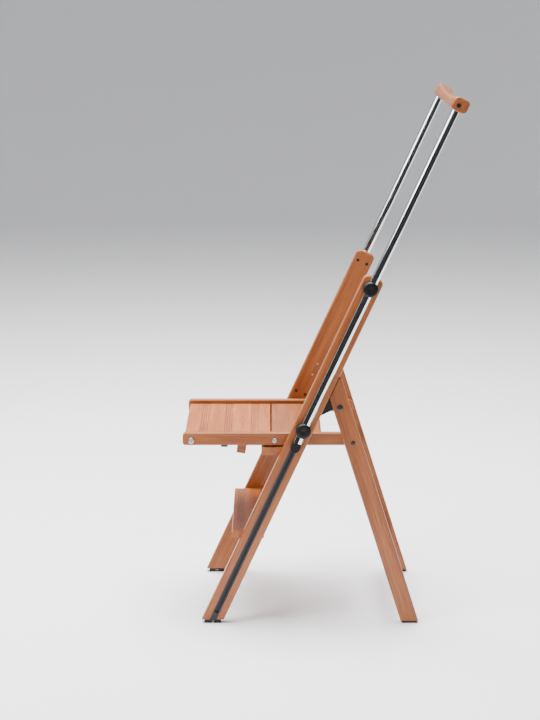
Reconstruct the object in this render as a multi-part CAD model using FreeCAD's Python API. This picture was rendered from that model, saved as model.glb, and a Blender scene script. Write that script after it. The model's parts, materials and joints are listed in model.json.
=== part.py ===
"""Folding beech step ladder with a flip-over seat platform and a telescopic handrail.

Frame: +Z up from the floor, +X from the climbing side towards the rear legs, +Y across to the left.
The outline work is done in the side plane, where x = 0 is where the stile's centre line meets the
floor, and every node is moved by the same amount at the end to centre the ladder on the origin.
At rest the rear legs are open, the handrail is raised and the platform is down, as a seat.
"""
import FreeCAD
import Part
import math
import os

# ---- driving dimensions, millimetres and degrees -------------------------------------------
STILE_LEAN = 24.8          # front stiles, from the vertical
LEG_LEAN = 17.6            # rear legs, from the vertical, the other way
OUTER_WIDTH = 484.0        # over the outer faces of the stiles
WOOD = 24.0                # thickness of stiles and rear legs
STILE_WIDTH = 50.0
STILE_TOP = 955.0          # square top end, measured up the stile's centre line
STILE_BASE = 8.5           # height of the stile's foot cut
STILE_CORNER = 12.0
EDGE = 3.5                 # rounding along the wooden edges

LEG_WIDTH = 42.0
LEG_BASE = 5.0
HINGE = (317.5, 547.6)     # leg hinge, side plane
ARM_PIVOT = (349.5, 459.0) # arm pivot on the leg's centre line
MITRE_GAP = 0.4            # between the leg's mitre and the stile it stops against

TREAD_DEPTH = 80.0
TREAD_THICK = 20.0
LOWER_TREAD = (51.8, 232.0)   # front edge and top of the lower tread
MIDDLE_TREAD = (125.1, 443.0)

ARM_REACH = 397.0          # arm pivot to the deck pivot
ARM_TO_TREAD = 191.0       # arm pivot to the flip tread's pivot
ARM_BELOW, ARM_ABOVE = 12.0, 19.0
ARM_NOSE, ARM_TAIL = 21.6, 17.0
ARM_THICK = 20.0
ARM_GAP = 4.0              # washer between leg and arm
ARM_SWING = 78.1           # seat position to top position

BOARD = 20.0               # deck and flip tread thickness
DECK_FRONT, DECK_REAR = 17.0, 195.0
FLIP_FRONT, FLIP_REAR = 8.0, 116.0
BOARD_GAP = 9.0            # arm's inner face to the board's end

LINK_ON_DECK = 74.0        # deck pivot to the link's upper pin
LINK_DROP = 4.0            # both link pins sit this far below the boards' centre line
LINK_HALF = 11.0
LINK_THICK = 4.0
LINK_OFFSET = 1.0          # board's end to the link's inner face

BATTEN_AT = 127.0          # deck pivot to the middle of the batten's top
BATTEN_WIDTH, BATTEN_DEPTH = 22.0, 31.0
BATTEN_LEAN = 10.0
BATTEN_HALF_LENGTH = 172.0

TUBE_R, TUBE_WALL = 10.0, 1.5
TUBE_OUT = 14.0            # stile's outer face to the tube's axis
SLIDER_TOP = 510.0         # up the stile, as are the guides, the tube's top and the grip
SLIDER_LENGTH = 25.0
SLIDER_HALF_WIDTH, SLIDER_PLAY = 11.5, 0.4
SLIDER_ROUND, SLIDER_ROUND_BELOW = 8.0, 11.0
MIDDLE_GUIDE = 543.0
TOP_GUIDE = 927.5
TUBE_TOP = 1420.0
GRIP_MIDDLE = 1417.0
GUIDE_R, GUIDE_HIGH = 18.5, 29.0
GUIDE_SCREW_OFF = 13.0
GRIP_BACK = 4.0            # grip's middle lies this far behind the tubes
GRIP_HALF_WIDTH, GRIP_HALF_DEPTH = 20.0, 17.0
GRIP_END = 276.0
GRIP_BLOCK = 234.0         # the square ends start here, seen from the middle

TRACK_WIDTH, TRACK_DEEP = 16.0, 8.0
TRACK_FROM, TRACK_TO = 4.0, 540.0    # it starts past the foot cut, which trims it level
TRACK_SLOT, TRACK_FLOOR = 8.0, 2.0
SLOT_FROM, SLOT_TO = 30.0, 536.0      # the slot is closed at both ends

PLATE_FROM, PLATE_TO = 586.0, 645.0   # up the stile, the hinge plate's root let into the stile
PLATE_ROOT, PLATE_NECK = -3.0, (590.0, 25.0)   # behind the centre line; where it leaves the stile
PLATE_EYE_R = 16.0
PLATE_PIN_R, PLATE_PIN_PAST = 2.5, 4.0
PLATE_ROOM = 0.4           # each side of the plate inside the leg

BOLT_R = 4.0               # all pivots are 8 mm
PIVOT_PLAY = 0.05          # radial running clearance
FACE_PLAY = 0.1            # between faces that slide on each other
DOWEL_R, DOWEL_HALF = 4.0, 12.0
SCREW_R = 2.0

# ---- derived places -------------------------------------------------------------------------
SIDE = OUTER_WIDTH / 2.0
INNER = SIDE - WOOD
ARM_OUT = INNER - ARM_GAP
ARM_IN = ARM_OUT - ARM_THICK
BOARD_END = ARM_IN - BOARD_GAP
LINK_IN = BOARD_END + LINK_OFFSET
LINK_OUT = LINK_IN + LINK_THICK
TUBE_Y = SIDE + TUBE_OUT
PLATE_HALF = 2.0
PLATE_Y = SIDE - WOOD / 2.0

SIN_S, COS_S = math.sin(math.radians(STILE_LEAN)), math.cos(math.radians(STILE_LEAN))
SIN_L, COS_L = math.sin(math.radians(LEG_LEAN)), math.cos(math.radians(LEG_LEAN))

DECK_PIVOT = (ARM_PIVOT[0] - ARM_REACH, ARM_PIVOT[1])
FLIP_PIVOT = (ARM_PIVOT[0] - ARM_TO_TREAD, ARM_PIVOT[1])


def link_on_flip():
    """Place of the link's lower pin on the flip tread, behind the tread's pivot.

    The link has one length. With the seat down both pins lie on one line. With the platform up the
    tread has turned half a turn and the link is the long side of a triangle. Equal lengths in the
    two positions give this one distance.
    """
    span = ARM_REACH - ARM_TO_TREAD
    swing = math.radians(ARM_SWING)
    across = LINK_ON_DECK - span * math.cos(swing)
    down = span * math.sin(swing) - 2.0 * LINK_DROP
    flat = span - LINK_ON_DECK
    return (across ** 2 + down ** 2 - flat ** 2) / (2.0 * (flat - across))


FLIP_LINK = link_on_flip()
LINK_LENGTH = ARM_REACH - ARM_TO_TREAD - LINK_ON_DECK + FLIP_LINK


# ---- small tools ----------------------------------------------------------------------------
def on_stile(up, back=0.0):
    """Side-plane point at a distance up the stile's centre line and behind it."""
    return (up * SIN_S + back * COS_S, up * COS_S - back * SIN_S)


def along_stile(point):
    """Distance up the stile's centre line and behind it, of a side-plane point."""
    return (point[0] * SIN_S + point[1] * COS_S, point[0] * COS_S - point[1] * SIN_S)


def on_leg(down, back=0.0):
    """Side-plane point at a distance down the rear leg from the arm pivot and behind its line."""
    return (ARM_PIVOT[0] + down * SIN_L + back * COS_L, ARM_PIVOT[1] - down * COS_L + back * SIN_L)


def stile_x(height, back=0.0):
    """The x of the stile's line, offset square to it, at a height."""
    return height * SIN_S / COS_S + back / COS_S


def leg_x(height, back=0.0):
    """The x of the leg's line, offset square to it, at a height."""
    return ARM_PIVOT[0] + (ARM_PIVOT[1] - height) * SIN_L / COS_L + back / COS_L


def vec(point, y=0.0):
    return FreeCAD.Vector(point[0], y, point[1])


def outline(corners):
    """Closed wire in the side plane from (point, radius) corners, with tangent arcs."""
    edges = []
    stops = []
    count = len(corners)
    for i in range(count):
        point, radius = corners[i]
        here = vec(point)
        back = (vec(corners[i - 1][0]) - here).normalize()
        ahead = (vec(corners[(i + 1) % count][0]) - here).normalize()
        if radius <= 0.0:
            stops.append((here, here, None))
            continue
        half = back.getAngle(ahead) / 2.0
        reach = radius / math.tan(half)
        middle = here + (back + ahead).normalize() * (radius / math.sin(half) - radius)
        stops.append((here + back * reach, here + ahead * reach, middle))
    for i in range(count):
        start, end, middle = stops[i]
        if middle is not None:
            edges.append(Part.Arc(start, middle, end).toShape())
        following = stops[(i + 1) % count][0]
        if (following - end).Length > 1e-6:
            edges.append(Part.LineSegment(end, following).toShape())
    return Part.Wire(edges)


def slab(corners, y_from, y_to, softened=0.0):
    """Outline in the side plane carried across from one y to another, both rims rounded."""
    wire = outline(corners)
    wire.translate(FreeCAD.Vector(0, y_from, 0))
    solid = Part.Face(wire).extrude(FreeCAD.Vector(0, y_to - y_from, 0))
    if softened <= 0.0:
        return solid
    rims = [e for e in solid.Edges if e.BoundBox.YLength < 1e-6]
    return solid.makeFillet(softened, rims)


def sharp(points):
    return [(p, 0.0) for p in points]


def pin(point, y_from, y_to, radius):
    """Round bar along Y at a side-plane point."""
    low, high = min(y_from, y_to), max(y_from, y_to)
    return Part.makeCylinder(radius, high - low, vec(point, low), FreeCAD.Vector(0, 1, 0))


def stile_bar(up_from, up_to, back_from, back_to, y_from, y_to, softened=0.0):
    """Rectangular bar along the stile."""
    points = [on_stile(up_from, back_from), on_stile(up_to, back_from),
              on_stile(up_to, back_to), on_stile(up_from, back_to)]
    return slab(sharp(points), y_from, y_to, softened)


def rod(up_from, up_to, radius, y):
    """Round bar parallel to the stile's centre line."""
    return Part.makeCylinder(radius, up_to - up_from, vec(on_stile(up_from), y),
                             FreeCAD.Vector(SIN_S, 0, COS_S))


def soften(solid, radius, wanted):
    """Round every edge whose bounding box the test accepts."""
    return solid.makeFillet(radius, [e for e in solid.Edges if wanted(e.BoundBox)])


def both_sides(right):
    """A right-hand solid and its mirror image on the left."""
    return right, right.mirror(FreeCAD.Vector(0, 0, 0), FreeCAD.Vector(0, 1, 0))


def pair(right):
    return Part.makeCompound(list(both_sides(right)))


def dome_head(point, y_face, radius, high):
    """Low round bolt head standing out of a face on the right-hand side, its rim rounded."""
    head = pin(point, y_face - high, y_face, radius)
    rim = [e for e in head.Edges if abs(e.BoundBox.YMax - (y_face - high)) < 1e-6]
    return head.makeFillet(high * 0.6, rim)


# ---- front frame ------------------------------------------------------------------------------
GUIDE_PLACES = (TOP_GUIDE, MIDDLE_GUIDE)
SCREW_HEAD_R = 4.0
SCREW_HEAD_DEEP = 2.5
GUIDE_SCREW_DEEP = 18.0     # into the guide
GUIDE_ROUND = 6.0
PLATE_PINS = (on_stile(600.0, 8.0), on_stile(632.0, 8.0))
TREAD_DOWEL_SPREAD = 8.0


def guide_screw_points():
    return [on_stile(up, back) for up in GUIDE_PLACES for back in (-GUIDE_SCREW_OFF, GUIDE_SCREW_OFF)]


def dowels_of_tread(front_top):
    """Two places side by side, in the middle of what the tread's end and the stile share."""
    front, top = front_top
    height = top - TREAD_THICK / 2.0
    shared_from = stile_x(height, -STILE_WIDTH / 2.0)
    shared_to = min(stile_x(height, STILE_WIDTH / 2.0), front + TREAD_DEPTH)
    middle = (shared_from + shared_to) / 2.0
    return [(middle - TREAD_DOWEL_SPREAD, height), (middle + TREAD_DOWEL_SPREAD, height)]


def tread_dowel_points():
    return dowels_of_tread(LOWER_TREAD) + dowels_of_tread(MIDDLE_TREAD)


def dowel(point):
    """Wooden dowel, half in the side member and half in the cross member."""
    bar = pin(point, -INNER - DOWEL_HALF, -INNER + DOWEL_HALF, DOWEL_R)
    return bar.makeChamfer(0.8, [e for e in bar.Edges if e.BoundBox.YLength < 1e-6])


def countersunk(point, y_face, y_tip, radius, head_r, head_deep):
    """Screw set flush in a face that looks towards the middle of the ladder."""
    shank = pin(point, y_tip, y_face - head_deep, radius)
    head = Part.makeCone(radius, head_r, head_deep, vec(point, y_face - head_deep),
                         FreeCAD.Vector(0, 1, 0))
    return shank.fuse(head).removeSplitter()


def hinge_plate():
    """Flat steel plate, let into the stile's rear edge and reaching back to the hinge bolt.

    Its lower edge runs to the eye's nearest point and its upper edge straight back to the eye.
    """
    up, back = along_stile(HINGE)
    toward = math.atan2(PLATE_NECK[1] - back, PLATE_NECK[0] - up)
    lower = (up + PLATE_EYE_R * math.cos(toward), back + PLATE_EYE_R * math.sin(toward))
    upper = (PLATE_TO, back - math.sqrt(PLATE_EYE_R ** 2 - (PLATE_TO - up) ** 2))
    corners = ((PLATE_FROM, PLATE_ROOT), PLATE_NECK, lower, (up, back), upper, (PLATE_TO, PLATE_ROOT))
    blade = slab(sharp([on_stile(*c) for c in corners]), -PLATE_Y - PLATE_HALF, -PLATE_Y + PLATE_HALF)
    eye = pin(HINGE, -PLATE_Y - PLATE_HALF, -PLATE_Y + PLATE_HALF, PLATE_EYE_R)
    plate = blade.fuse(eye).removeSplitter()
    plate = plate.cut(pin(HINGE, -SIDE, -INNER, BOLT_R + PIVOT_PLAY))
    for point in PLATE_PINS:
        plate = plate.cut(pin(point, -SIDE, -INNER, PLATE_PIN_R))
    return plate


def stile():
    half = STILE_WIDTH / 2.0
    bar = slab([((stile_x(STILE_BASE, -half), STILE_BASE), 0.0),
                ((stile_x(STILE_BASE, half), STILE_BASE), 0.0),
                (on_stile(STILE_TOP, half), STILE_CORNER),
                (on_stile(STILE_TOP, -half), STILE_CORNER)], -SIDE, -INNER, EDGE)
    bar = bar.cut(track_room())
    past_edge = STILE_WIDTH
    slot = ((PLATE_FROM, PLATE_ROOT), PLATE_NECK, (PLATE_NECK[0], past_edge), (PLATE_TO, past_edge),
            (PLATE_TO, PLATE_ROOT))
    bar = bar.cut(slab(sharp([on_stile(*c) for c in slot]), -PLATE_Y - PLATE_HALF, -PLATE_Y + PLATE_HALF))
    for point in PLATE_PINS:
        bar = bar.cut(pin(point, -PLATE_Y - PLATE_PIN_PAST, -INNER, PLATE_PIN_R))
    for point in guide_screw_points():
        bar = bar.cut(countersunk(point, -INNER, -SIDE - 1.0, SCREW_R, SCREW_HEAD_R, SCREW_HEAD_DEEP))
    for point in tread_dowel_points():
        bar = bar.cut(pin(point, -INNER - DOWEL_HALF, -INNER, DOWEL_R))
    return bar.cut(foot_nail(FRONT_FOOT_X, STILE_BASE))


def track_room():
    """The channel's outer shape, trimmed level with the stile's foot cut."""
    half = TRACK_WIDTH / 2.0
    bar = stile_bar(TRACK_FROM, TRACK_TO, -half, half, -SIDE, -SIDE + TRACK_DEEP)
    below = Part.makeBox(2.0 * STILE_WIDTH, 2.0 * WOOD, STILE_BASE,
                         FreeCAD.Vector(-STILE_WIDTH, -SIDE - WOOD, 0))
    return bar.cut(below)


def track():
    """Plastic channel let into the stile's outer face, with a slot that the slider runs in."""
    half = TRACK_SLOT / 2.0
    slot = stile_bar(SLOT_FROM, SLOT_TO, -half, half, -SIDE, -SIDE + TRACK_DEEP - TRACK_FLOOR)
    return track_room().cut(slot)


def guide(up):
    """Round guide on the stile's outer face, bored for the handrail tube."""
    knob = pin(on_stile(up), -SIDE - GUIDE_HIGH, -SIDE, GUIDE_R)
    rim = [e for e in knob.Edges if abs(e.BoundBox.YMax + SIDE + GUIDE_HIGH) < 1e-6]
    knob = knob.makeFillet(GUIDE_ROUND, rim)
    knob = knob.cut(rod(up - 2.0 * GUIDE_R, up + 2.0 * GUIDE_R, TUBE_R + FACE_PLAY, -TUBE_Y))
    for back in (-GUIDE_SCREW_OFF, GUIDE_SCREW_OFF):
        knob = knob.cut(pin(on_stile(up, back), -SIDE - GUIDE_SCREW_DEEP, -SIDE, SCREW_R))
    return knob


def guide_screw(point):
    return countersunk(point, -INNER, -SIDE - GUIDE_SCREW_DEEP, SCREW_R, SCREW_HEAD_R, SCREW_HEAD_DEEP)


def grooves(board, x_first, z_face, y_half, count=4, pitch=5.5):
    """Cut a group of fine anti-slip grooves across a board's top or bottom face."""
    width, deep = 1.8, 1.2
    for i in range(count):
        x = x_first + i * pitch
        board = board.cut(Part.makeBox(width, 2.0 * y_half, 2.0 * deep,
                                       FreeCAD.Vector(x, -y_half, z_face - deep)))
    return board


def tread(front_top):
    front, top = front_top
    board = Part.makeBox(TREAD_DEPTH, 2.0 * INNER, TREAD_THICK,
                         FreeCAD.Vector(front, -INNER, top - TREAD_THICK))
    board = soften(board, 5.0, lambda b: b.YLength > INNER and b.XMax < front + 1.0)
    board = soften(board, 3.0, lambda b: b.YLength > INNER and b.XMin > front + TREAD_DEPTH - 1.0)
    board = grooves(board, front + 11.0, top, INNER)
    for point in dowels_of_tread(front_top):
        hole = pin(point, -INNER, -INNER + DOWEL_HALF, DOWEL_R)
        for side in both_sides(hole):
            board = board.cut(side)
    return board


def foot(x_middle, half_length, base, pads):
    """Rubber foot under a side member: a base layer on two treaded pads, or one plain block."""
    y_from, y_to = -SIDE + 3.0, -INNER - 3.0
    if not pads:
        block = Part.makeBox(2.0 * half_length, y_to - y_from, base,
                             FreeCAD.Vector(x_middle - half_length, y_from, 0))
        return soften(block, 1.5, lambda b: b.ZMax < 1e-6)
    layer = 3.0
    sole = Part.makeBox(2.0 * half_length, y_to - y_from, layer,
                        FreeCAD.Vector(x_middle - half_length, y_from, base - layer))
    length = half_length - 4.0
    for x in (x_middle - half_length, x_middle + half_length - length):
        block = Part.makeBox(length, y_to - y_from, base - layer, FreeCAD.Vector(x, y_from, 0))
        sole = sole.fuse(soften(block, 1.2, lambda b: b.ZMax < 1e-6))
    return sole.removeSplitter()


FRONT_FOOT_X = stile_x(STILE_BASE)
REAR_FOOT_X = leg_x(LEG_BASE)
FOOT_NAIL_R, FOOT_NAIL_HIGH = 1.8, 16.0


def foot_nail(x_middle, base):
    """Nail that holds a rubber foot, its head let into the rubber."""
    y = -PLATE_Y
    shank = Part.makeCylinder(FOOT_NAIL_R, FOOT_NAIL_HIGH + 1.0, FreeCAD.Vector(x_middle, y, base - 1.0))
    head = Part.makeCylinder(4.0, 1.0, FreeCAD.Vector(x_middle, y, base - 2.0))
    return shank.fuse(head).removeSplitter()


def front_foot():
    return foot(FRONT_FOOT_X, 20.5, STILE_BASE, True).cut(foot_nail(FRONT_FOOT_X, STILE_BASE))


def rear_foot():
    return foot(REAR_FOOT_X, 18.5, LEG_BASE, False).cut(foot_nail(REAR_FOOT_X, LEG_BASE))


REST_PAD_R, REST_PAD_BEHIND = 7.0, 20.0


def rest_pad():
    """Thin round pad on the middle tread that the lowered arm rests on."""
    y = -(ARM_IN + ARM_THICK / 2.0)
    high = ARM_PIVOT[1] - ARM_BELOW - MIDDLE_TREAD[1] - FACE_PLAY
    x = MIDDLE_TREAD[0] + TREAD_DEPTH - REST_PAD_BEHIND
    pad = Part.makeCylinder(REST_PAD_R, high, FreeCAD.Vector(x, y, MIDDLE_TREAD[1]))
    return soften(pad, 1.0, lambda b: b.ZMin > MIDDLE_TREAD[1] + 1.0 and b.XLength > REST_PAD_R)


# ---- rear frame -------------------------------------------------------------------------------
RAIL_THICK = 18.0
RAIL_DOWEL_SPREAD = 14.0
RAILS = {"upper_rail": (62.0, 112.0), "lower_rail": (305.0, 365.0)}   # down the leg, from and to
HINGE_NUT_R, HINGE_NUT_DEEP = 6.5, 4.0
ARM_NUT_R, ARM_NUT_HIGH = 6.5, 2.6


def rail_dowel_points():
    points = []
    for start, end in RAILS.values():
        points += [on_leg((start + end) / 2.0 + k) for k in (-RAIL_DOWEL_SPREAD, RAIL_DOWEL_SPREAD)]
    return points


def hinge_sweep():
    """Room inside the leg for the hinge plate over the whole fold: a sector and a disc."""
    first, last, parts = 84.0, 250.0, 12   # degrees round the hinge, from the open plate to the folded one
    steps = [math.radians(first + (last - first) * i / parts) for i in range(parts + 1)]
    reach = 58.0                           # past the plate's farthest corner inside the leg
    fan = [HINGE] + [(HINGE[0] + reach * math.cos(a), HINGE[1] + reach * math.sin(a)) for a in steps]
    y_from, y_to = -PLATE_Y - PLATE_HALF - PLATE_ROOM, -PLATE_Y + PLATE_HALF + PLATE_ROOM
    return slab(sharp(fan), y_from, y_to).fuse(pin(HINGE, y_from, y_to, PLATE_EYE_R + 1.0))


def rear_leg():
    """Straight leg, cut level at the floor and mitred at the top to lie against the stile."""
    half = LEG_WIDTH / 2.0
    stop = STILE_WIDTH / 2.0 + MITRE_GAP

    def mitre(back):
        slope_s, slope_l = SIN_S / COS_S, SIN_L / COS_L
        base = ARM_PIVOT[0] + ARM_PIVOT[1] * slope_l + back / COS_L
        height = (base - stop / COS_S) / (slope_s + slope_l)
        return (stile_x(height, stop), height)

    bar = slab([((leg_x(LEG_BASE, -half), LEG_BASE), 0.0), ((leg_x(LEG_BASE, half), LEG_BASE), 0.0),
                (mitre(half), 3.5), (mitre(-half), 3.5)], -SIDE, -INNER, 3.0)
    bar = bar.cut(hinge_sweep())
    bar = bar.cut(pin(HINGE, -SIDE, -INNER, BOLT_R))
    bar = bar.cut(pin(HINGE, -INNER - HINGE_NUT_DEEP, -INNER, HINGE_NUT_R))
    bar = bar.cut(pin(ARM_PIVOT, -SIDE, -INNER, BOLT_R))
    for point in rail_dowel_points():
        bar = bar.cut(pin(point, -INNER - DOWEL_HALF, -INNER, DOWEL_R))
    return bar.cut(foot_nail(REAR_FOOT_X, LEG_BASE))


def rail(start, end):
    half = RAIL_THICK / 2.0
    corners = [on_leg(start, -half), on_leg(end, -half), on_leg(end, half), on_leg(start, half)]
    board = slab([(c, 3.0) for c in corners], -INNER, INNER)
    for k in (-RAIL_DOWEL_SPREAD, RAIL_DOWEL_SPREAD):
        hole = pin(on_leg((start + end) / 2.0 + k), -INNER, -INNER + DOWEL_HALF, DOWEL_R)
        for side in both_sides(hole):
            board = board.cut(side)
    return board


def hinge_bolt():
    shaft = pin(HINGE, -SIDE, -INNER - 1.0, BOLT_R)
    return shaft.fuse(dome_head(HINGE, -SIDE, 7.0, 4.0)).removeSplitter()


def hinge_nut():
    """Sleeve nut sunk in the leg's inner face, clear of the arm that passes it."""
    nut = pin(HINGE, -INNER - HINGE_NUT_DEEP, -INNER - 0.5, HINGE_NUT_R)
    return nut.cut(pin(HINGE, -SIDE, -INNER - 1.0, BOLT_R))


def arm_pivot_bolt():
    shaft = pin(ARM_PIVOT, -SIDE, -ARM_IN + 1.5, BOLT_R)
    return shaft.fuse(dome_head(ARM_PIVOT, -SIDE, 5.5, 3.0)).removeSplitter()


def arm_nut():
    nut = pin(ARM_PIVOT, -ARM_IN + FACE_PLAY, -ARM_IN + ARM_NUT_HIGH, ARM_NUT_R)
    return nut.cut(pin(ARM_PIVOT, -ARM_OUT, -ARM_IN + 1.5, BOLT_R))


def arm_washer():
    ring = pin(ARM_PIVOT, -INNER, -ARM_OUT - FACE_PLAY, 12.0)
    return ring.cut(pin(ARM_PIVOT, -INNER, -ARM_OUT, BOLT_R))


# ---- platform ---------------------------------------------------------------------------------
HEAD_HIGH = 2.8
BOARD_PIN_DEEP = 26.0
SPACER_R = {"deck": 7.0, "flip": 6.0}
PIN_HEAD_HIGH = 2.2
BUFFER_FROM, BUFFER_TO, BUFFER_THICK = 73.0, 90.0, 5.0


def link_pin_on_deck():
    return (DECK_PIVOT[0] + LINK_ON_DECK, DECK_PIVOT[1] - LINK_DROP)


def link_pin_on_flip():
    return (FLIP_PIVOT[0] + FLIP_LINK, FLIP_PIVOT[1] - LINK_DROP)


def arm():
    front, rear = DECK_PIVOT[0] - ARM_NOSE, ARM_PIVOT[0] + ARM_TAIL
    low, high = ARM_PIVOT[1] - ARM_BELOW, ARM_PIVOT[1] + ARM_ABOVE
    bar = slab([((front, low), 7.0), ((rear, low), 10.0), ((rear, high), 14.0), ((front, high), 9.0)],
               -ARM_OUT, -ARM_IN, 2.5)
    for point in (DECK_PIVOT, FLIP_PIVOT, ARM_PIVOT):
        bar = bar.cut(pin(point, -ARM_OUT, -ARM_IN, BOLT_R + PIVOT_PLAY))
    return bar


def arm_buffer():
    low = ARM_PIVOT[1] - ARM_BELOW
    y_middle = -(ARM_IN + ARM_THICK / 2.0)
    block = Part.makeBox(BUFFER_TO - BUFFER_FROM, 14.0, BUFFER_THICK,
                         FreeCAD.Vector(DECK_PIVOT[0] + BUFFER_FROM, y_middle - 7.0, low - BUFFER_THICK))
    return soften(block, 1.5, lambda b: b.ZMax < low - 1.0 or b.ZLength > 1.0)


def deck_board():
    """Seat and top platform: a board with three groups of anti-slip grooves."""
    x = DECK_PIVOT[0] - DECK_FRONT
    low = DECK_PIVOT[1] - BOARD / 2.0
    board = Part.makeBox(DECK_FRONT + DECK_REAR, 2.0 * BOARD_END, BOARD,
                         FreeCAD.Vector(x, -BOARD_END, low))
    board = soften(board, 4.0, lambda b: b.YLength > BOARD_END and b.XMax < x + 1.0)
    board = soften(board, 2.0, lambda b: b.YLength > BOARD_END and b.XMin > x + 5.0)
    for first in (19.0, 80.0, 146.0):
        board = grooves(board, DECK_PIVOT[0] + first, low + BOARD, BOARD_END)
    for y in BATTEN_SCREW_Y:
        board = board.cut(batten_screw(y))
    return drill_ends(board, (DECK_PIVOT, link_pin_on_deck()))


def flip_tread():
    """Board that lengthens the seat at rest and turns over to be a step when the platform is up."""
    x = FLIP_PIVOT[0] - FLIP_FRONT
    low = FLIP_PIVOT[1] - BOARD / 2.0
    board = Part.makeBox(FLIP_FRONT + FLIP_REAR, 2.0 * BOARD_END, BOARD,
                         FreeCAD.Vector(x, -BOARD_END, low))
    board = soften(board, 2.0, lambda b: b.YLength > BOARD_END and b.XMax < x + 1.0)
    board = soften(board, 6.0, lambda b: b.YLength > BOARD_END and b.XMin > x + 5.0)
    board = grooves(board, FLIP_PIVOT[0] + FLIP_REAR - 30.0, low, BOARD_END)
    return drill_ends(board, (FLIP_PIVOT,))


def drill_ends(board, points):
    """Blind holes for 8 mm pins in both end faces of a board."""
    for point in points:
        hole = pin(point, -BOARD_END, -BOARD_END + BOARD_PIN_DEEP, BOLT_R)
        for side in both_sides(hole):
            board = board.cut(side)
    return board


def board_bolt(point, head_r):
    """Bolt through the arm into a board's end, with a cross recess in its head."""
    shaft = pin(point, -ARM_OUT - FACE_PLAY, -BOARD_END + BOARD_PIN_DEEP, BOLT_R)
    bolt = shaft.fuse(dome_head(point, -ARM_OUT - FACE_PLAY, head_r, HEAD_HIGH)).removeSplitter()
    reach, width, deep = head_r * 0.62, 1.8, 1.3
    top = -ARM_OUT - FACE_PLAY - HEAD_HIGH
    for size in ((reach, width / 2.0), (width / 2.0, reach)):
        bolt = bolt.cut(Part.makeBox(2.0 * size[0], deep, 2.0 * size[1],
                                     FreeCAD.Vector(point[0] - size[0], top, point[1] - size[1])))
    return bolt


def spacer(point, radius):
    ring = pin(point, -ARM_IN + FACE_PLAY, -BOARD_END, radius)
    return ring.cut(pin(point, -ARM_IN, -BOARD_END, BOLT_R))


BATTEN_SCREW_Y = (-135.0, -45.0, 45.0, 135.0)
BATTEN_SCREW_HEAD_R, BATTEN_SCREW_SUNK = 4.0, 4.0


def batten_screw_foot():
    """The x of the screws, in the middle of the batten, and the height of their heads' tops."""
    x = DECK_PIVOT[0] + BATTEN_AT - BATTEN_DEPTH * math.tan(math.radians(BATTEN_LEAN)) / 2.0
    return x, DECK_PIVOT[1] - BOARD / 2.0 - BATTEN_DEPTH + BATTEN_SCREW_SUNK


def batten_screw(y):
    """Long screw up through the batten into the deck, its head sunk in the batten."""
    x, head_top = batten_screw_foot()
    tip = DECK_PIVOT[1] - BOARD / 2.0 + 12.0
    shank = Part.makeCylinder(SCREW_R, tip - head_top, FreeCAD.Vector(x, y, head_top))
    head = Part.makeCone(BATTEN_SCREW_HEAD_R, SCREW_R, 2.5, FreeCAD.Vector(x, y, head_top - 2.5))
    return shank.fuse(head).removeSplitter()


def batten():
    """Stiffening batten under the deck, leaning a little like the stiles."""
    lean = math.radians(BATTEN_LEAN)
    top = DECK_PIVOT[1] - BOARD / 2.0
    shift = BATTEN_DEPTH * math.tan(lean)
    half = BATTEN_WIDTH / 2.0
    drop = half * math.sin(lean)
    x = DECK_PIVOT[0] + BATTEN_AT
    bar = slab([((x - half, top), 0.0), ((x + half, top), 0.0),
                ((x + half - shift, top - BATTEN_DEPTH - drop), 2.5),
                ((x - half - shift, top - BATTEN_DEPTH + drop), 2.5)],
               -BATTEN_HALF_LENGTH, BATTEN_HALF_LENGTH)
    screw_x, head_top = batten_screw_foot()
    for y in BATTEN_SCREW_Y:
        bore = Part.makeCylinder(BATTEN_SCREW_HEAD_R, 8.0, FreeCAD.Vector(screw_x, y, head_top - 10.5))
        bar = bar.cut(batten_screw(y)).cut(bore)
    return bar


def link():
    """Flat steel link from the deck to the flip tread, relieved where the tread's bolt crosses it."""
    upper, lower = link_pin_on_deck(), link_pin_on_flip()
    z = upper[1]
    y_from, y_to = -LINK_OUT, -LINK_IN
    bar = slab(sharp([(upper[0], z - LINK_HALF), (lower[0], z - LINK_HALF),
                      (lower[0], z + LINK_HALF), (upper[0], z + LINK_HALF)]), y_from, y_to)
    for point in (upper, lower):
        bar = bar.fuse(pin(point, y_from, y_to, LINK_HALF))
    bar = bar.removeSplitter()
    near = FLIP_PIVOT[0]
    room = SPACER_R["flip"] + 1.2
    notch_low, above = z + LINK_DROP - room, z + 30.0
    notch = [((near - room - 0.5, above), 0.0), ((near - room - 0.5, notch_low), 4.0),
             ((near + room + 1.0, notch_low), 4.0), ((near + 42.0, above), 0.0)]
    bar = bar.cut(slab(notch, y_from, y_to))
    bar = bar.cut(pin(upper, y_from, y_to, BOLT_R + PIVOT_PLAY))
    return bar.cut(pin(lower, y_from, y_to, BOLT_R))


def link_pivot_pin():
    point = link_pin_on_deck()
    shaft = pin(point, -LINK_OUT - FACE_PLAY, -BOARD_END + BOARD_PIN_DEEP, BOLT_R)
    return shaft.fuse(dome_head(point, -LINK_OUT - FACE_PLAY, 7.0, PIN_HEAD_HIGH)).removeSplitter()


def link_end_pin():
    """Pin in the link's lower eye. It stops at the link's inner face."""
    point = link_pin_on_flip()
    shaft = pin(point, -LINK_OUT, -LINK_IN, BOLT_R)
    return shaft.fuse(dome_head(point, -LINK_OUT, 7.0, PIN_HEAD_HIGH)).removeSplitter()


# ---- handrail ---------------------------------------------------------------------------------
GRIP_BOLT_UP = GRIP_MIDDLE - 2.0
GRIP_BOLT_R, GRIP_BOLT_HEAD_R = 2.5, 5.0


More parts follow.
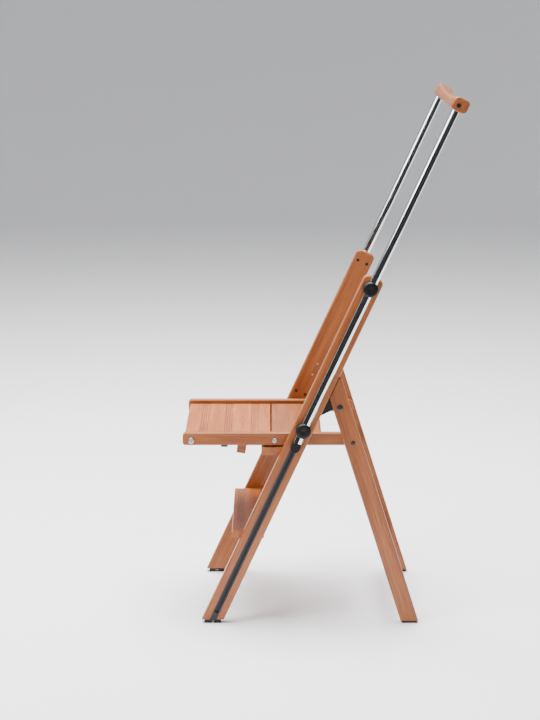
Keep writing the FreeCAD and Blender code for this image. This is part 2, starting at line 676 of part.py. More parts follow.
def tube():
    pipe = rod(SLIDER_TOP, TUBE_TOP, TUBE_R, -TUBE_Y)
    pipe = pipe.cut(rod(SLIDER_TOP, TUBE_TOP, TUBE_R - TUBE_WALL, -TUBE_Y))
    return pipe.cut(pin(on_stile(GRIP_BOLT_UP), -GRIP_END, -GRIP_BLOCK, GRIP_BOLT_R))


def slider():
    """End piece of the tube: a plug, a block on the stile's face and a tongue in the track."""
    start = SLIDER_TOP - SLIDER_LENGTH
    wide, play = SLIDER_HALF_WIDTH, SLIDER_PLAY
    body = slab([(on_stile(start, -wide), SLIDER_ROUND_BELOW), (on_stile(SLIDER_TOP, -wide), SLIDER_ROUND),
                 (on_stile(SLIDER_TOP, wide), SLIDER_ROUND), (on_stile(start, wide), SLIDER_ROUND_BELOW)],
                -TUBE_Y - TUBE_R - 0.5, -SIDE - play, 1.5)
    tongue = stile_bar(start + 2.0, SLIDER_TOP - 2.0, -TRACK_SLOT / 2.0 + play, TRACK_SLOT / 2.0 - play,
                       -SIDE - 1.0, -SIDE + TRACK_DEEP - TRACK_FLOOR - play)
    plug = rod(SLIDER_TOP - 1.0, SLIDER_TOP + 16.0, TUBE_R - TUBE_WALL, -TUBE_Y)
    return body.fuse([tongue, plug]).removeSplitter()


def grip_section(y, half_width, half_depth, lowered):
    """Rounded section of the grip, square to its length."""
    up, round_r = GRIP_MIDDLE - lowered, 0.62 * half_depth
    wire = outline([(on_stile(up + a * half_depth, GRIP_BACK + b * half_width), round_r)
                    for a, b in ((-1, -1), (-1, 1), (1, 1), (1, -1))])
    wire.translate(FreeCAD.Vector(0, y, 0))
    return wire


def grip():
    """Wooden handle: two square ends on the tubes and a thinner, hollowed middle between them."""
    width, depth = GRIP_HALF_WIDTH, GRIP_HALF_DEPTH
    stations = ((-GRIP_BLOCK, 1.0, 1.0, 0.0), (-170.0, 0.80, 0.78, 2.2), (-85.0, 0.74, 0.72, 4.0),
                (0.0, 0.72, 0.70, 4.6), (85.0, 0.74, 0.72, 4.0), (170.0, 0.80, 0.78, 2.2),
                (GRIP_BLOCK, 1.0, 1.0, 0.0))
    wires = [grip_section(y, width * w, depth * d, low) for y, w, d, low in stations]
    handle = Part.makeLoft(wires, True, False)
    for y_from, y_to in ((-GRIP_END, -GRIP_BLOCK), (GRIP_END, GRIP_BLOCK)):
        face = Part.Face(grip_section(y_from, width, depth, 0.0))
        block = face.extrude(FreeCAD.Vector(0, y_to - y_from, 0))
        rim = [e for e in block.Edges if e.BoundBox.YLength < 1e-6 and abs(e.BoundBox.YMin - y_from) < 1e-6]
        handle = handle.fuse(block.makeFillet(4.0, rim))
    handle = handle.removeSplitter()
    for side in both_sides(rod(GRIP_MIDDLE - 40.0, TUBE_TOP, TUBE_R, -TUBE_Y)):
        handle = handle.cut(side)
    for side in both_sides(grip_bolt()):
        handle = handle.cut(side)
    return handle


def grip_bolt():
    """Bolt from the grip's end through the tube, its head sunk in the end face."""
    point = on_stile(GRIP_BOLT_UP)
    shaft = pin(point, -GRIP_END + 0.8, -GRIP_BLOCK, GRIP_BOLT_R)
    head = pin(point, -GRIP_END + 0.8, -GRIP_END + 4.0, GRIP_BOLT_HEAD_R)
    return shaft.fuse(head).removeSplitter()


# ---- nodes ------------------------------------------------------------------------------------
def build():
    nodes = {}

    def sides(name, right):
        nodes["right_" + name], nodes["left_" + name] = both_sides(right)

    sides("stile", stile())
    sides("track", track())
    sides("top_guide", guide(TOP_GUIDE))
    sides("middle_guide", guide(MIDDLE_GUIDE))
    sides("hinge_plate", hinge_plate())
    nodes["lower_tread"] = tread(LOWER_TREAD)
    nodes["middle_tread"] = tread(MIDDLE_TREAD)
    nodes["tread_dowels"] = pair(Part.makeCompound([dowel(p) for p in tread_dowel_points()]))
    nodes["guide_screws"] = pair(Part.makeCompound([guide_screw(p) for p in guide_screw_points()]))
    nodes["hinge_plate_pins"] = pair(Part.makeCompound(
        [pin(p, -PLATE_Y - PLATE_PIN_PAST, -INNER, PLATE_PIN_R) for p in PLATE_PINS]))
    nodes["front_feet"] = pair(front_foot())
    nodes["front_foot_nails"] = pair(foot_nail(FRONT_FOOT_X, STILE_BASE))
    nodes["seat_rest_pads"] = pair(rest_pad())

    sides("rear_leg", rear_leg())
    for name, (start, end) in RAILS.items():
        nodes[name] = rail(start, end)
    nodes["rail_dowels"] = pair(Part.makeCompound([dowel(p) for p in rail_dowel_points()]))
    nodes["hinge_bolts"] = pair(hinge_bolt())
    nodes["hinge_nuts"] = pair(hinge_nut())
    nodes["arm_pivot_bolts"] = pair(arm_pivot_bolt())
    nodes["arm_pivot_nuts"] = pair(arm_nut())
    nodes["arm_washers"] = pair(arm_washer())
    nodes["rear_feet"] = pair(rear_foot())
    nodes["rear_foot_nails"] = pair(foot_nail(REAR_FOOT_X, LEG_BASE))

    sides("arm", arm())
    nodes["arm_buffers"] = pair(arm_buffer())
    nodes["deck_board"] = deck_board()
    nodes["deck_batten"] = batten()
    nodes["batten_screws"] = Part.makeCompound([batten_screw(y) for y in BATTEN_SCREW_Y])
    nodes["deck_pivot_bolts"] = pair(board_bolt(DECK_PIVOT, 7.5))
    nodes["deck_spacers"] = pair(spacer(DECK_PIVOT, SPACER_R["deck"]))
    nodes["link_pivot_pins"] = pair(link_pivot_pin())
    nodes["flip_tread"] = flip_tread()
    nodes["tread_pivot_bolts"] = pair(board_bolt(FLIP_PIVOT, 6.0))
    nodes["tread_spacers"] = pair(spacer(FLIP_PIVOT, SPACER_R["flip"]))
    sides("link", link())
    nodes["link_end_pins"] = pair(link_end_pin())

    sides("handrail_tube", tube())
    sides("slider", slider())
    nodes["grip"] = grip()
    nodes["grip_bolts"] = pair(grip_bolt())
    return nodes


def main():
    nodes = build()
    whole = Part.makeCompound(list(nodes.values()))
    box = whole.optimalBoundingBox(False, False)
    shift = -(box.XMin + box.XMax) / 2.0
    os.makedirs("parts", exist_ok=True)
    for name, shape in nodes.items():
        shape.translate(FreeCAD.Vector(shift, 0, 0))
        shape.exportStep("parts/" + name + ".step")
        if not shape.isValid():
            print("not valid:", name)
    print("nodes", len(nodes), "shift", round(shift, 6))
    print("size %.1f x %.1f x %.1f, floor %.3f" % (box.XLength, box.YLength, box.ZLength, box.ZMin))
    for name, point in (("hinge", HINGE), ("arm pivot", ARM_PIVOT), ("deck pivot", DECK_PIVOT),
                        ("flip pivot", FLIP_PIVOT), ("link pin on deck", link_pin_on_deck()),
                        ("link pin on flip tread", link_pin_on_flip())):
        print("%-24s %9.4f %9.4f" % (name, point[0] + shift, point[1]))
    print("link length %.3f" % LINK_LENGTH)


main()
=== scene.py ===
"""Looks of the folding beech step ladder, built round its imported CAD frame.

Metres, in the CAD frame: +Z up from the floor, +X towards the rear legs, -Y the right-hand side.
Places come from the CAD nodes' boxes and from the handrail's joint axis.
"""

import json
import math

import bmesh
import bpy
import numpy as np
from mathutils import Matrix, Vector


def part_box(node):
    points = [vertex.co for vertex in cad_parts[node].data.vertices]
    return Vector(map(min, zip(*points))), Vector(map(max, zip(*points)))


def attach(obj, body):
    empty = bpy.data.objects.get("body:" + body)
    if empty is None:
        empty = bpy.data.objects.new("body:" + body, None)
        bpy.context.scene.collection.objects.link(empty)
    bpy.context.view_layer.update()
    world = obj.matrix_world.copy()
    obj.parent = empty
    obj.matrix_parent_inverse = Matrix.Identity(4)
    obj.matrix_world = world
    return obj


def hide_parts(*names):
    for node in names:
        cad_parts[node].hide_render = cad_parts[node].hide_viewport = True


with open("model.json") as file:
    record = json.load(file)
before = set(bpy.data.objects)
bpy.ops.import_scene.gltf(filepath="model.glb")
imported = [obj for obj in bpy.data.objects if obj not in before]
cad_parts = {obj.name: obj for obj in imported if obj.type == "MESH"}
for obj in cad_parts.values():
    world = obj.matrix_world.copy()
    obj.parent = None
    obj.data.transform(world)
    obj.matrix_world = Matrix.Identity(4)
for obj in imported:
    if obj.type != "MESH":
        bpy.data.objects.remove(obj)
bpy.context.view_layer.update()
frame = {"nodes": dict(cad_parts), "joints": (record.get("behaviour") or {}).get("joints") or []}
nodes = frame["nodes"]

MM = 0.001
STILE_LEAN = math.radians(24.8)
LEG_LEAN = math.radians(17.6)
SHARP_EDGE = math.radians(32.0)

rail_axis = next(j["axis"] for j in frame["joints"] if j["name"] == "handrail_slide")
UP_STILE = np.array(rail_axis, float)                         # along the stiles, upwards
BEHIND = np.array([UP_STILE[2], 0.0, -UP_STILE[0]])           # square to them, to the rear
ACROSS = np.array([0.0, 1.0, 0.0])


# ---- colour and nodes -----------------------------------------------------------------------
def linear(code):
    """sRGB hex colour to linear RGBA: each channel through the sRGB curve."""
    channels = [int(code[i:i + 2], 16) / 255.0 for i in (1, 3, 5)]
    return [c / 12.92 if c <= 0.04045 else ((c + 0.055) / 1.055) ** 2.4 for c in channels] + [1.0]


def add(tree, kind, inputs=None, stops=None, **settings):
    """Adds a node, sets its properties and gives each named or numbered input a value or a link.

    Stops are a colour ramp's (place, hex) pairs. Inputs 0 to 4 of a Map Range are its value, the
    range it comes from and the range it goes to.
    """
    node = tree.nodes.new("ShaderNode" + kind)
    for name, value in settings.items():
        setattr(node, name, value)
    for key, value in (inputs or {}).items():
        if isinstance(value, bpy.types.NodeSocket):
            tree.links.new(value, node.inputs[key])
        else:
            node.inputs[key].default_value = value
    for index, (place, code) in enumerate(stops or ()):
        elements = node.color_ramp.elements
        element = elements[index] if index < 2 else elements.new(place)
        element.position = place
        element.color = linear(code)
    return node


def blank(name, **sockets):
    """A new material with only its shader. Constant values are set on the shader's own sockets."""
    material = bpy.data.materials.new(name)
    material.use_nodes = True
    shader = material.node_tree.nodes["Principled BSDF"]
    for socket, value in sockets.items():
        shader.inputs[socket.replace("_", " ")].default_value = value
    return material, material.node_tree, shader


# ---- materials --------------------------------------------------------------------------------
GRAIN_TURN = {                       # turns each direction of the grain onto X
    "stile": (0.0, math.pi / 2 - STILE_LEAN, 0.0),
    "leg": (0.0, math.pi / 2 + LEG_LEAN, 0.0),
    "lengthways": (0.0, 0.0, 0.0),
    "crossways": (0.0, 0.0, -math.pi / 2),
}
BEECH_STOPS = ((0.20, "#5C2C10"), (0.45, "#81431B"), (0.62, "#945325"), (0.85, "#B06D38"))


def beech(name, grain, offset, shade=1.0):
    """Steamed beech, planed, sanded and sprayed with satin varnish.

    Pinkish tan with straight grain: broad growth bands some 15 mm apart, fibre lines and the short
    dark ray flecks. The varnish gives one soft highlight over the pores. IOR 1.5, as varnish has.
    Painted shade: the colour darkens in the anti-slip grooves and screw holes, whose walls are within 3
    mm.
    """
    material, tree, shader = blank(name, IOR=1.5, Coat_Weight=0.10, Coat_Roughness=0.24,
                                   Specular_IOR_Level=0.4)
    place = add(tree, "Mapping", {"Vector": add(tree, "TexCoord").outputs["Object"],
                                  "Location": offset, "Rotation": GRAIN_TURN[grain]}).outputs[0]

    def stretched(along_mm, across_mm, detail, rough=0.55):
        """Noise drawn out along the grain, with its real size along and across in millimetres."""
        size = (1000.0 / along_mm, 1000.0 / across_mm, 1000.0 / across_mm)
        scaled = add(tree, "VectorMath", {0: place, 1: size}, operation="MULTIPLY").outputs[0]
        return add(tree, "TexNoise", {"Vector": scaled, "Scale": 1.0, "Detail": detail,
                                      "Roughness": rough}).outputs[0]

    bands = stretched(420.0, 15.0, 3.0)
    fibres = stretched(75.0, 2.4, 4.0, 0.65)      # real fibres are finer; drawn to show
    flecks = stretched(9.0, 1.5, 2.0)             # ray flecks, 3 to 9 mm long
    patches = stretched(260.0, 90.0, 1.0)
    lines = add(tree, "MapRange", {0: fibres, 1: 0.25, 2: 0.75, 3: 0.0, 4: 0.34}).outputs[0]
    mixed = add(tree, "Math", {0: bands, 1: 0.50, 2: lines}, operation="MULTIPLY_ADD").outputs[0]
    mixed = add(tree, "Math", {0: patches, 1: 0.22, 2: mixed}, operation="MULTIPLY_ADD").outputs[0]
    colour = add(tree, "ValToRGB", {0: mixed}, BEECH_STOPS).outputs[0]
    # The shade factor scales the whole colour: random tone on most pieces, painted light and shade on
    # some.
    fleck = add(tree, "MapRange", {0: flecks, 1: 0.60, 2: 0.70, 3: shade, 4: 0.84 * shade}).outputs[0]
    flecked = add(tree, "VectorMath", {0: colour, "Scale": fleck}, operation="SCALE").outputs[0]
    # Painted shade: ambient occlusion from the piece's own walls within 3 mm darkens the colour, down to
    # 0.35, in grooves and holes.
    openness = add(tree, "AmbientOcclusion", {"Distance": 3.0 * MM}, samples=8,
                   only_local=True).outputs["AO"]
    painted_groove_shade = add(tree, "MapRange", {0: openness, 1: 0.45, 2: 0.90, 3: 0.35, 4: 1.0}).outputs[0]
    groove_shaded = add(tree, "VectorMath", {0: flecked, "Scale": painted_groove_shade}, operation="SCALE").outputs[0]
    gloss = add(tree, "MapRange", {0: fibres, 1: 0.3, 2: 0.7, 3: 0.42, 4: 0.33}).outputs[0]
    relief = add(tree, "Math", {0: flecks, 1: 0.4, 2: fibres}, operation="MULTIPLY_ADD").outputs[0]
    bump = add(tree, "Bump", {"Height": relief, "Strength": 0.16, "Distance": 0.25 * MM}).outputs[0]
    return patterned(material, shader, groove_shaded, gloss, bump)


def patterned(material, shader, colour, roughness, normal):
    """Joins a pattern's three results to the shader."""
    tree = material.node_tree
    tree.links.new(colour, shader.inputs["Base Color"])
    tree.links.new(roughness, shader.inputs["Roughness"])
    tree.links.new(normal, shader.inputs["Normal"])
    return material


PATCH_MM = 1000.0 / 90.0             # the shade changes over some 11 mm
DIE_LINES = (4.0, 700.0, 700.0)      # lines 250 mm long and 1.4 mm apart, for a noise in metres


def textured(name, dark, light, grit_mm, bump_mm, rough, strength=0.5, **sockets):
    """Base for the small parts: two close shades and a relief of one grit size in millimetres."""
    material, tree, shader = blank(name, **sockets)
    place = add(tree, "TexCoord").outputs["Object"]
    grit = add(tree, "TexNoise", {"Vector": place, "Scale": 1000.0 / grit_mm, "Detail": 3.0}).outputs[0]
    patches = add(tree, "TexNoise", {"Vector": place, "Scale": 1000.0 / PATCH_MM,
                                      "Detail": 2.0}).outputs[0]
    colour = add(tree, "ValToRGB", {0: patches}, ((0.3, dark), (0.7, light))).outputs[0]
    gloss = add(tree, "MapRange", {0: grit, 1: 0.3, 2: 0.7, 3: rough[0], 4: rough[1]}).outputs[0]
    bump = add(tree, "Bump", {"Height": grit, "Strength": strength, "Distance": bump_mm * MM}).outputs[0]
    return patterned(material, shader, colour, gloss, bump)


def polished_chrome():
    """Steel tube, polished and chromium plated: a mirror with the faintest polishing haze."""
    return textured("polished_chrome", "#D5D7DA", "#E2E3E5", 4.0, 0.004, (0.045, 0.075), 0.2, Metallic=1.0)


def moulded_nylon():
    """Black glass-filled nylon, injection moulded in a spark-eroded tool: a fine even grain."""
    return textured("moulded_nylon", "#0B0B0C", "#131315", 0.9, 0.05, (0.40, 0.52), IOR=1.53,
                    Specular_IOR_Level=0.2)


def extruded_pvc():
    """Dark grey rigid PVC channel, extruded: satin, with faint die lines along its length."""
    material, tree, shader = blank("extruded_pvc", IOR=1.53, Specular_IOR_Level=0.25)
    turned = add(tree, "Mapping", {"Vector": add(tree, "TexCoord").outputs["Object"],
                                   "Rotation": GRAIN_TURN["stile"]}).outputs[0]
    lines = add(tree, "VectorMath", {0: turned, 1: DIE_LINES}, operation="MULTIPLY").outputs[0]
    drawn = add(tree, "TexNoise", {"Vector": lines, "Scale": 1.0, "Detail": 2.0}).outputs[0]
    colour = add(tree, "ValToRGB", {0: drawn}, ((0.3, "#26272A"), (0.7, "#33353A"))).outputs[0]
    gloss = add(tree, "MapRange", {0: drawn, 1: 0.3, 2: 0.7, 3: 0.48, 4: 0.60}).outputs[0]
    bump = add(tree, "Bump", {"Height": drawn, "Strength": 0.3, "Distance": 0.04 * MM}).outputs[0]
    return patterned(material, shader, colour, gloss, bump)


def powder_coat():
    """Mild steel plate under black powder coat: satin, with a slight orange peel."""
    return textured("powder_coated_steel", "#0E0E0F", "#161618", 1.6, 0.06, (0.42, 0.52), IOR=1.5,
                    Specular_IOR_Level=0.3)


def bright_zinc():
    """Steel screws and bolts, bright zinc plated: silvery, with soft uneven gloss."""
    return textured("bright_zinc", "#BFC3C8", "#D2D4D6", 1.4, 0.02, (0.22, 0.34), 0.3, Metallic=1.0)


def black_oxide():
    """Bolts blacked by hot oxide and oiled: a dark grey metal with a soft gloss."""
    return textured("black_oxide", "#3A3D41", "#4B4F54", 1.2, 0.02, (0.30, 0.42), 0.3, Metallic=1.0)


def moulded_rubber():
    """Black vulcanised rubber, moulded: matt, a little lighter in random patches."""
    return textured("moulded_rubber", "#151516", "#242425", 1.1, 0.10, (0.72, 0.90), 0.6, IOR=1.52)


# ---- surfaces ---------------------------------------------------------------------------------
def skin(grids):
    """A mesh from closed rings: each grid is rows of rings, joined by quads and closed by a middle
    point at both ends. Several grids make several shells of one mesh."""
    points, faces, start = [], [], 0
    for grid in grids:
        rows, columns, _ = grid.shape
        row, column = np.meshgrid(np.arange(rows - 1), np.arange(columns), indexing="ij")
        following = (column + 1) % columns
        quads = np.stack([row * columns + column, row * columns + following,
                          (row + 1) * columns + following, (row + 1) * columns + column], -1)
        ring = np.arange(columns)
        turned = (ring + 1) % columns
        first, last = rows * columns, rows * columns + 1
        caps = np.concatenate([
            np.stack([turned, ring, np.full(columns, first)], -1),
            np.stack([(rows - 1) * columns + ring, (rows - 1) * columns + turned,
                      np.full(columns, last)], -1)])
        points.append(np.concatenate([grid.reshape(-1, 3), grid[:1].mean(1), grid[-1:].mean(1)]))
        faces += (quads.reshape(-1, 4) + start).tolist() + (caps + start).tolist()
        start += rows * columns + 2
    mesh = bpy.data.meshes.new("skin")
    mesh.from_pydata(np.concatenate(points).tolist(), [], faces)
    outward = bmesh.new()
    outward.from_mesh(mesh)
    bmesh.ops.recalc_face_normals(outward, faces=outward.faces)
    outward.to_mesh(mesh)
    outward.free()
    mesh.shade_smooth()
    mesh.set_sharp_from_angle(angle=SHARP_EDGE)
    return mesh


def piece(name, grids, body, slot, material, *stands_for):
    """One new piece: it rides on a body, takes the given material and stands for CAD nodes. The slot
    argument is not used.
    """
    thing = bpy.data.objects.new(name, skin(grids))
    bpy.context.scene.collection.objects.link(thing)
    thing.data.materials.append(material)
    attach(thing, body)
    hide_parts(*stands_for)


def turned_on_y(centre, profile, face_y, side, hexagon=None, columns=72):
    """Surface of revolution about a line along Y.

    Profile is rows of (radius, distance out of the face). Side is -1 on the right and 1 on the left.
    Rows that the hexagon mask marks have their radius divided by the cosine of the angle to the
    nearest flat's middle, which makes a hexagon of that radius across its flats' middles.
    """
    angle = np.linspace(0.0, 2.0 * np.pi, columns, endpoint=False)
    radius = np.repeat(profile[:, :1], columns, 1)
    if hexagon is not None:
        to_flat = np.mod(angle, np.pi / 3.0) - np.pi / 6.0
        radius = np.where(hexagon[:, None], radius / np.cos(to_flat)[None, :], radius)
    out = np.repeat(profile[:, 1:], columns, 1)
    return np.stack([centre[0] + radius * np.cos(angle), face_y + side * out,
                     centre[1] + radius * np.sin(angle)], -1)


def arc(middle, radii, start, end, count):
    """Points of an elliptic arc: middle plus the radii times cosine and sine, degrees in between."""
    angle = np.radians(np.linspace(start, end, count))
    return np.stack([middle[0] + radii[0] * np.cos(angle), middle[1] + radii[1] * np.sin(angle)], -1)


# ---- pieces -------------------------------------------------------------------------------------
GUIDE_CHAMFER, GUIDE_ROUND = 0.8 * MM, 6.0 * MM
GUIDE_GROOVE_AT, GUIDE_GROOVE_HALF, GUIDE_GROOVE_DEEP = 4.0 * MM, 1.2 * MM, 0.6 * MM
GUIDE_DISH_R, GUIDE_DISH_DEEP = 9.5 * MM, 1.1 * MM


def guide_profile(radius, high):
    """Round guide: a chamfered foot, a parting groove, a wall, a quarter round and a dished face.

    The groove and the dish are raised cosines, deepest in the middle.
    """
    beside = np.linspace(-1.0, 1.0, 9)
    groove = GUIDE_GROOVE_AT + GUIDE_GROOVE_HALF * beside
    sunk = GUIDE_GROOVE_DEEP * 0.5 * (1.0 + np.cos(np.pi * beside))
    dish = np.linspace(1.0, 0.02, 14)
    fall = GUIDE_DISH_DEEP * 0.5 * (1.0 + np.cos(np.pi * dish))
    return np.concatenate([
        [[radius - GUIDE_CHAMFER, 0.0], [radius, GUIDE_CHAMFER]],
        np.stack([radius - sunk, groove], -1),
        arc((radius - GUIDE_ROUND, high - GUIDE_ROUND), (GUIDE_ROUND, GUIDE_ROUND), 0.0, 90.0, 12),
        np.stack([GUIDE_DISH_R * dish, high - fall], -1)])


def make_guides(material):
    """A guide on each side at the stile's top and at its middle, turned about the CAD guide's axis."""
    for name in ("top_guide", "middle_guide"):
        for side, hand in ((-1, "right_"), (1, "left_")):
            low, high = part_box(hand + name)
            centre = ((low.x + high.x) / 2.0, (low.z + high.z) / 2.0)
            face_y = high.y if side < 0 else low.y
            grid = turned_on_y(centre, guide_profile((high.x - low.x) / 2.0, high.y - low.y), face_y, side)
            piece(hand + name + "_moulding", [grid], "stile_frame", "black_plastic", material, hand + name)


SHAFT_R, HEAD_EDGE = 4.0 * MM, 0.2 * MM
# shaft length, head radius, head height, and half the key's width
HINGE_BOLT = (23.0 * MM, 7.0 * MM, 4.0 * MM, 2.5 * MM)
ARM_PIVOT_BOLT = (49.5 * MM, 5.5 * MM, 3.0 * MM, 2.0 * MM)


def bolt_profile(shaft_long, head_r, head_high, socket_r):
    """Button-head bolt: shaft, flat underside, rim, an elliptic dome and a sunk socket.

    The rim is a quarter of the head's height, and the socket's floor slopes in from 0.45 to 0.40 of
    it. Returns the profile and the mask of the rows that are hexagons.
    """
    rim, flat_r = 0.25 * head_high, 1.25 * socket_r
    shaft = np.array([[SHAFT_R, -shaft_long], [SHAFT_R, 0.0], [head_r - HEAD_EDGE, 0.0],
                      [head_r, HEAD_EDGE]])
    dome = arc((flat_r, rim), (head_r - flat_r, head_high - rim), 0.0, 90.0, 14)
    socket = np.array([[socket_r, head_high], [socket_r, 0.45 * head_high],
                       [0.3 * socket_r, 0.40 * head_high]])
    profile = np.concatenate([shaft, dome, socket])
    hexagon = np.arange(len(profile)) >= len(shaft) + len(dome)
    return profile, hexagon


def make_bolts(name, sizes, material):
    """A right and a left bolt standing for one CAD node. The shaft ends at the CAD shaft's end."""
    low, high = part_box(name)
    centre = ((low.x + high.x) / 2.0, (low.z + high.z) / 2.0)
    head_high = sizes[2]
    face_y = high.y - head_high
    profile, hexagon = bolt_profile(*sizes)
    grids = [turned_on_y(centre, profile, side * face_y, side, hexagon) for side in (-1, 1)]
    piece(name + "_button_head", grids, "rear_frame", "dark_steel", material, name)


GRIP_WIDE, GRIP_DEEP, GRIP_CORNER = 19.9 * MM, 16.9 * MM, 10.5 * MM
GRIP_BLOCK = 42.0 * MM             # length of each square end
GRIP_RIM = 4.0 * MM
GRIP_THIN, GRIP_SADDLE = 0.28, 4.6 * MM
GRIP_HOLE_R, GRIP_HOLE_DEEP = 5.2 * MM, 2.0 * MM
GRIP_BOLT_OFF = (-2.0 * MM, -4.0 * MM)   # up and behind, from the section's middle
WAIST_ROWS, RIM_ROWS = 81, 9


def grip_middle():
    """Middle of the CAD grip's box."""
    low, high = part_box("grip")
    return np.array([(low.x + high.x) / 2.0, 0.0, (low.z + high.z) / 2.0])


def grip_rings(along, wide, deep, corner, lowered, columns=96):
    """Rounded rectangles across the grip: each point is a corner's centre plus the corner radius
    times the cosine and sine of its angle, so the flats bridge between the corners."""
    angle = (np.arange(columns) + 0.5) * 2.0 * np.pi / columns
    behind = np.sign(np.cos(angle)) * (wide - corner)[:, None] + corner[:, None] * np.cos(angle)
    up = np.sign(np.sin(angle)) * (deep - corner)[:, None] + corner[:, None] * np.sin(angle)
    up = up - lowered[:, None]
    return (grip_middle() + along[:, None, None] * ACROSS + behind[..., None] * BEHIND
            + up[..., None] * UP_STILE)


def bolt_hole(rings, y):
    """Circle in the end face round the bolt, its points at the angles of the section's points."""
    columns = rings.shape[1]
    angle = (np.arange(columns) + 0.5) * 2.0 * np.pi / columns
    middle = grip_middle() + y * ACROSS + GRIP_BOLT_OFF[0] * UP_STILE + GRIP_BOLT_OFF[1] * BEHIND
    return (middle + GRIP_HOLE_R * (np.cos(angle)[:, None] * BEHIND + np.sin(angle)[:, None] * UP_STILE))


def make_grip(material):
    """Handle between the tubes: square ends and a waist whose width, depth and drop follow one
    minus the cube of the distance from the middle. Both ends have a round rim and a bolt hole."""
    low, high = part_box("grip")
    end = (high.y - low.y) / 2.0
    block = end - GRIP_BLOCK
    waist = np.linspace(-block, block, WAIST_ROWS)
    thin = 1.0 - np.abs(waist / block) ** 3
    turn = np.radians(np.linspace(0.0, 90.0, RIM_ROWS))
    inset = GRIP_RIM * (1.0 - np.sin(turn))
    rim = end - GRIP_RIM * (1.0 - np.cos(turn))
    level = np.zeros(RIM_ROWS)
    along = np.concatenate([-rim, waist, rim[::-1]])
    share = np.concatenate([level + 1.0, 1.0 - GRIP_THIN * thin, level + 1.0])
    cut = np.concatenate([inset, np.zeros(WAIST_ROWS), inset[::-1]])
    drop = np.concatenate([level, GRIP_SADDLE * thin, level])
    rings = grip_rings(along, GRIP_WIDE * share - cut, GRIP_DEEP * share - cut,
                       GRIP_CORNER * share - cut, drop)
    hole = np.stack([bolt_hole(rings, -end), bolt_hole(rings, end)])
    inner = hole + np.array([1.0, -1.0])[:, None, None] * GRIP_HOLE_DEEP * ACROSS
    grid = np.concatenate([inner[:1], hole[:1], rings, hole[1:], inner[1:]])
    piece("grip_handle", [grid], "handrail", "beech", material, "grip")


# ---- dressing the CAD nodes -----------------------------------------------------------------
def dress():
    """Gives every CAD node its material. Wooden nodes get the grain along their own length."""
    timber = {               # direction of the grain, place in the wood in metres, shade (random tone, and painted light on some pieces)
        "right_stile": ("stile", (0.0, 0.0, 0.0), 1.0),
        "left_stile": ("stile", (3.1, 0.4, 1.3), 0.97),
        "right_rear_leg": ("leg", (7.7, 1.9, 0.2), 0.98),
        "left_rear_leg": ("leg", (5.2, 2.6, 1.1), 1.0),
        # Painted light: the arms' beech is drawn about a tenth lighter.
        "right_arm": ("lengthways", (1.3, 4.2, 0.7), 1.10),
        "left_arm": ("lengthways", (2.9, 0.3, 4.4), 1.08),
        # Painted light: the deck board's beech is 1.40 times as light, as for a top lit from above.
        "deck_board": ("crossways", (0.6, 0.2, 2.3), 1.40),
        "deck_batten": ("crossways", (4.4, 1.7, 0.9), 1.0),
        # Painted shade: the flip tread's beech is darkened to 0.90.
        "flip_tread": ("crossways", (1.9, 3.3, 0.1), 0.90),
        # Painted light: the lower tread's beech is 1.30 times as light, lifting it out of shade.
        "lower_tread": ("crossways", (2.2, 5.1, 1.7), 1.30),
        "middle_tread": ("crossways", (8.3, 0.8, 3.7), 1.10),
        "upper_rail": ("crossways", (3.5, 2.4, 6.6), 1.0),
        "lower_rail": ("crossways", (0.9, 6.1, 2.8), 0.98),
        "tread_dowels": ("crossways", (0.0, 1.0, 0.0), 1.0),
        "rail_dowels": ("crossways", (1.0, 0.0, 0.0), 1.0)}
    for name, (grain, offset, shade) in timber.items():
        wear(name, beech("beech_" + name, grain, offset, shade))
    make_grip(beech("beech_grip", "crossways", (6.3, 2.9, 5.5), 0.86))

    nylon, steel, dark = moulded_nylon(), bright_zinc(), black_oxide()
    finishes = {
        polished_chrome(): ("right_handrail_tube", "left_handrail_tube"),
        nylon: ("right_slider", "left_slider", "arm_washers", "deck_spacers", "tread_spacers"),
        extruded_pvc(): ("right_track", "left_track"),
        powder_coat(): ("right_link", "left_link", "right_hinge_plate", "left_hinge_plate"),
        steel: ("deck_pivot_bolts", "tread_pivot_bolts", "batten_screws", "front_foot_nails",
                "rear_foot_nails", "hinge_nuts", "arm_pivot_nuts", "hinge_plate_pins"),
        dark: ("guide_screws", "grip_bolts", "link_pivot_pins", "link_end_pins"),
        moulded_rubber(): ("front_feet", "rear_feet", "seat_rest_pads", "arm_buffers")}
    for material, names in finishes.items():
        for name in names:
            wear(name, material)
    make_guides(nylon)
    make_bolts("hinge_bolts", HINGE_BOLT, dark)
    make_bolts("arm_pivot_bolts", ARM_PIVOT_BOLT, dark)


def wear(name, material):
    """Replaces whatever material a CAD node came with."""
    slots = nodes[name].data.materials
    slots.clear()
    slots.append(material)


# ---- studio ---------------------------------------------------------------------------------
FLOOR_R, SWEEP_R, WALL_TOP, DISC_R = 8.0, 3.5, 7.0, 0.02
FLAG_R, FLAG_TOP, FLAG_FROM, FLAG_TO = 1.9, 1.53, -110.0, 95.0


def stage_mesh(name, points, faces, material):
    """A part of the set, which isn't part of the ladder."""
    mesh = bpy.data.meshes.new(name)
    mesh.from_pydata(points, [], faces)
    mesh.shade_smooth()
    mesh.materials.append(material)
    thing = bpy.data.objects.new(name, mesh)
    bpy.context.scene.collection.objects.link(thing)
    return thing


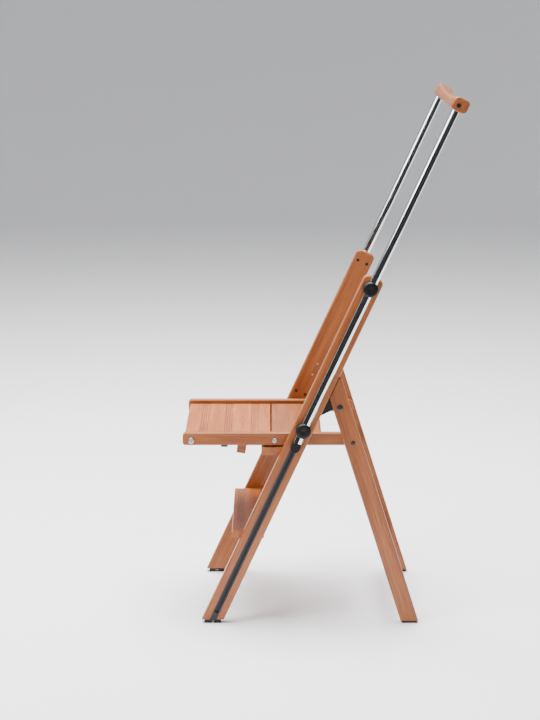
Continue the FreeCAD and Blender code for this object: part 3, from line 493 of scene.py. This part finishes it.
def make_bowl():
    """Paper floor that turns up into a wall all round: a line, an arc of SWEEP_R and a line, turned
    about Z and closed by a disc of DISC_R, so that every side of the ladder has the same ground."""
    line = np.concatenate([[[DISC_R, 0.0]], arc((FLOOR_R, SWEEP_R), (SWEEP_R, SWEEP_R), -90.0, 0.0, 25),
                           [[FLOOR_R + SWEEP_R, WALL_TOP]]])
    columns = 96
    angle = np.linspace(0.0, 2.0 * np.pi, columns, endpoint=False)
    points = np.stack([line[:, :1] * np.cos(angle), line[:, :1] * np.sin(angle),
                       np.repeat(line[:, 1:], columns, 1)], -1).reshape(-1, 3)
    row, column = np.meshgrid(np.arange(len(line) - 1), np.arange(columns), indexing="ij")
    following = (column + 1) % columns
    quads = np.stack([row * columns + column, (row + 1) * columns + column,
                      (row + 1) * columns + following, row * columns + following], -1)
    faces = quads.reshape(-1, 4).tolist() + [list(range(columns))]
    paper, _, _ = blank("matt_paper", Base_Color=linear("#F4F4F5"), Roughness=0.9)
    stage_mesh("paper_floor", points.tolist(), faces, paper)


def make_flag():
    """Black cloth round the front of the set, a strip of cylinder of radius FLAG_R. Only the
    polished tubes and the varnish mirror it: it gives the chrome its dark band."""
    columns = 60
    angle = np.radians(np.linspace(FLAG_FROM, FLAG_TO, columns))
    foot = np.stack([FLAG_R * np.sin(angle), -FLAG_R * np.cos(angle), 0.0 * angle], -1)
    points = np.concatenate([foot, foot + [0.0, 0.0, FLAG_TOP]])
    column = np.arange(columns - 1)
    faces = np.stack([column, column + 1, column + 1 + columns, column + columns], -1)
    cloth, _, _ = blank("black_cloth", Base_Color=linear("#060606"), Roughness=1.0)
    flag = stage_mesh("black_flag", points.tolist(), faces.tolist(), cloth)
    flag.visible_camera = flag.visible_diffuse = flag.visible_shadow = False
    flag.visible_transmission = False


def softbox(name, place, target, size, watts):
    """Rectangular area light that faces a point; size is its width and height."""
    lamp = bpy.data.lights.new(name, "AREA")
    lamp.shape = "RECTANGLE"
    lamp.size, lamp.size_y = size
    lamp.energy = watts
    thing = bpy.data.objects.new(name, lamp)
    bpy.context.scene.collection.objects.link(thing)
    thing.location = place
    aim = thing.location - type(thing.location)(target)
    thing.rotation_euler = aim.to_track_quat("Z", "Y").to_euler()


def make_lights():
    """Broad light from above and behind for the pale floor, a key from the left for the stiles'
    front edges and the chrome's bright line, and a weak fill from the front."""
    middle = (0.0, 0.0, 0.6)
    softbox("overhead", (-0.6, 0.7, 4.2), (-0.2, -0.2, 0.0), (3.6, 3.6), 800.0)
    softbox("key_left", (-2.5, -1.7, 2.7), middle, (1.4, 1.5), 90.0)
    softbox("front_fill", (0.9, -5.0, 2.6), middle, (2.0, 2.0), 25.0)
    world = bpy.data.worlds.new("studio_air")
    world.use_nodes = True
    world.node_tree.nodes["Background"].inputs["Color"].default_value = linear("#DADCDF")
    world.node_tree.nodes["Background"].inputs["Strength"].default_value = 0.5
    bpy.context.scene.world = world


CAMERA_PLACE = (-0.128866, -5.455783, 1.634691)
CAMERA_PITCH = math.radians(79.47559)      # 90 degrees is level
LENS, SENSOR = 109.0, 36.0                 # millimetres


def make_camera():
    """Long lens, level across, looking along +Y and a little down."""
    camera = bpy.data.cameras.new("camera")
    camera.lens = LENS
    camera.sensor_width = SENSOR
    thing = bpy.data.objects.new("camera", camera)
    bpy.context.scene.collection.objects.link(thing)
    thing.location = CAMERA_PLACE
    thing.rotation_euler = (CAMERA_PITCH, 0.0, 0.0)
    bpy.context.scene.camera = thing


make_camera()
make_bowl()
make_flag()
make_lights()
dress()
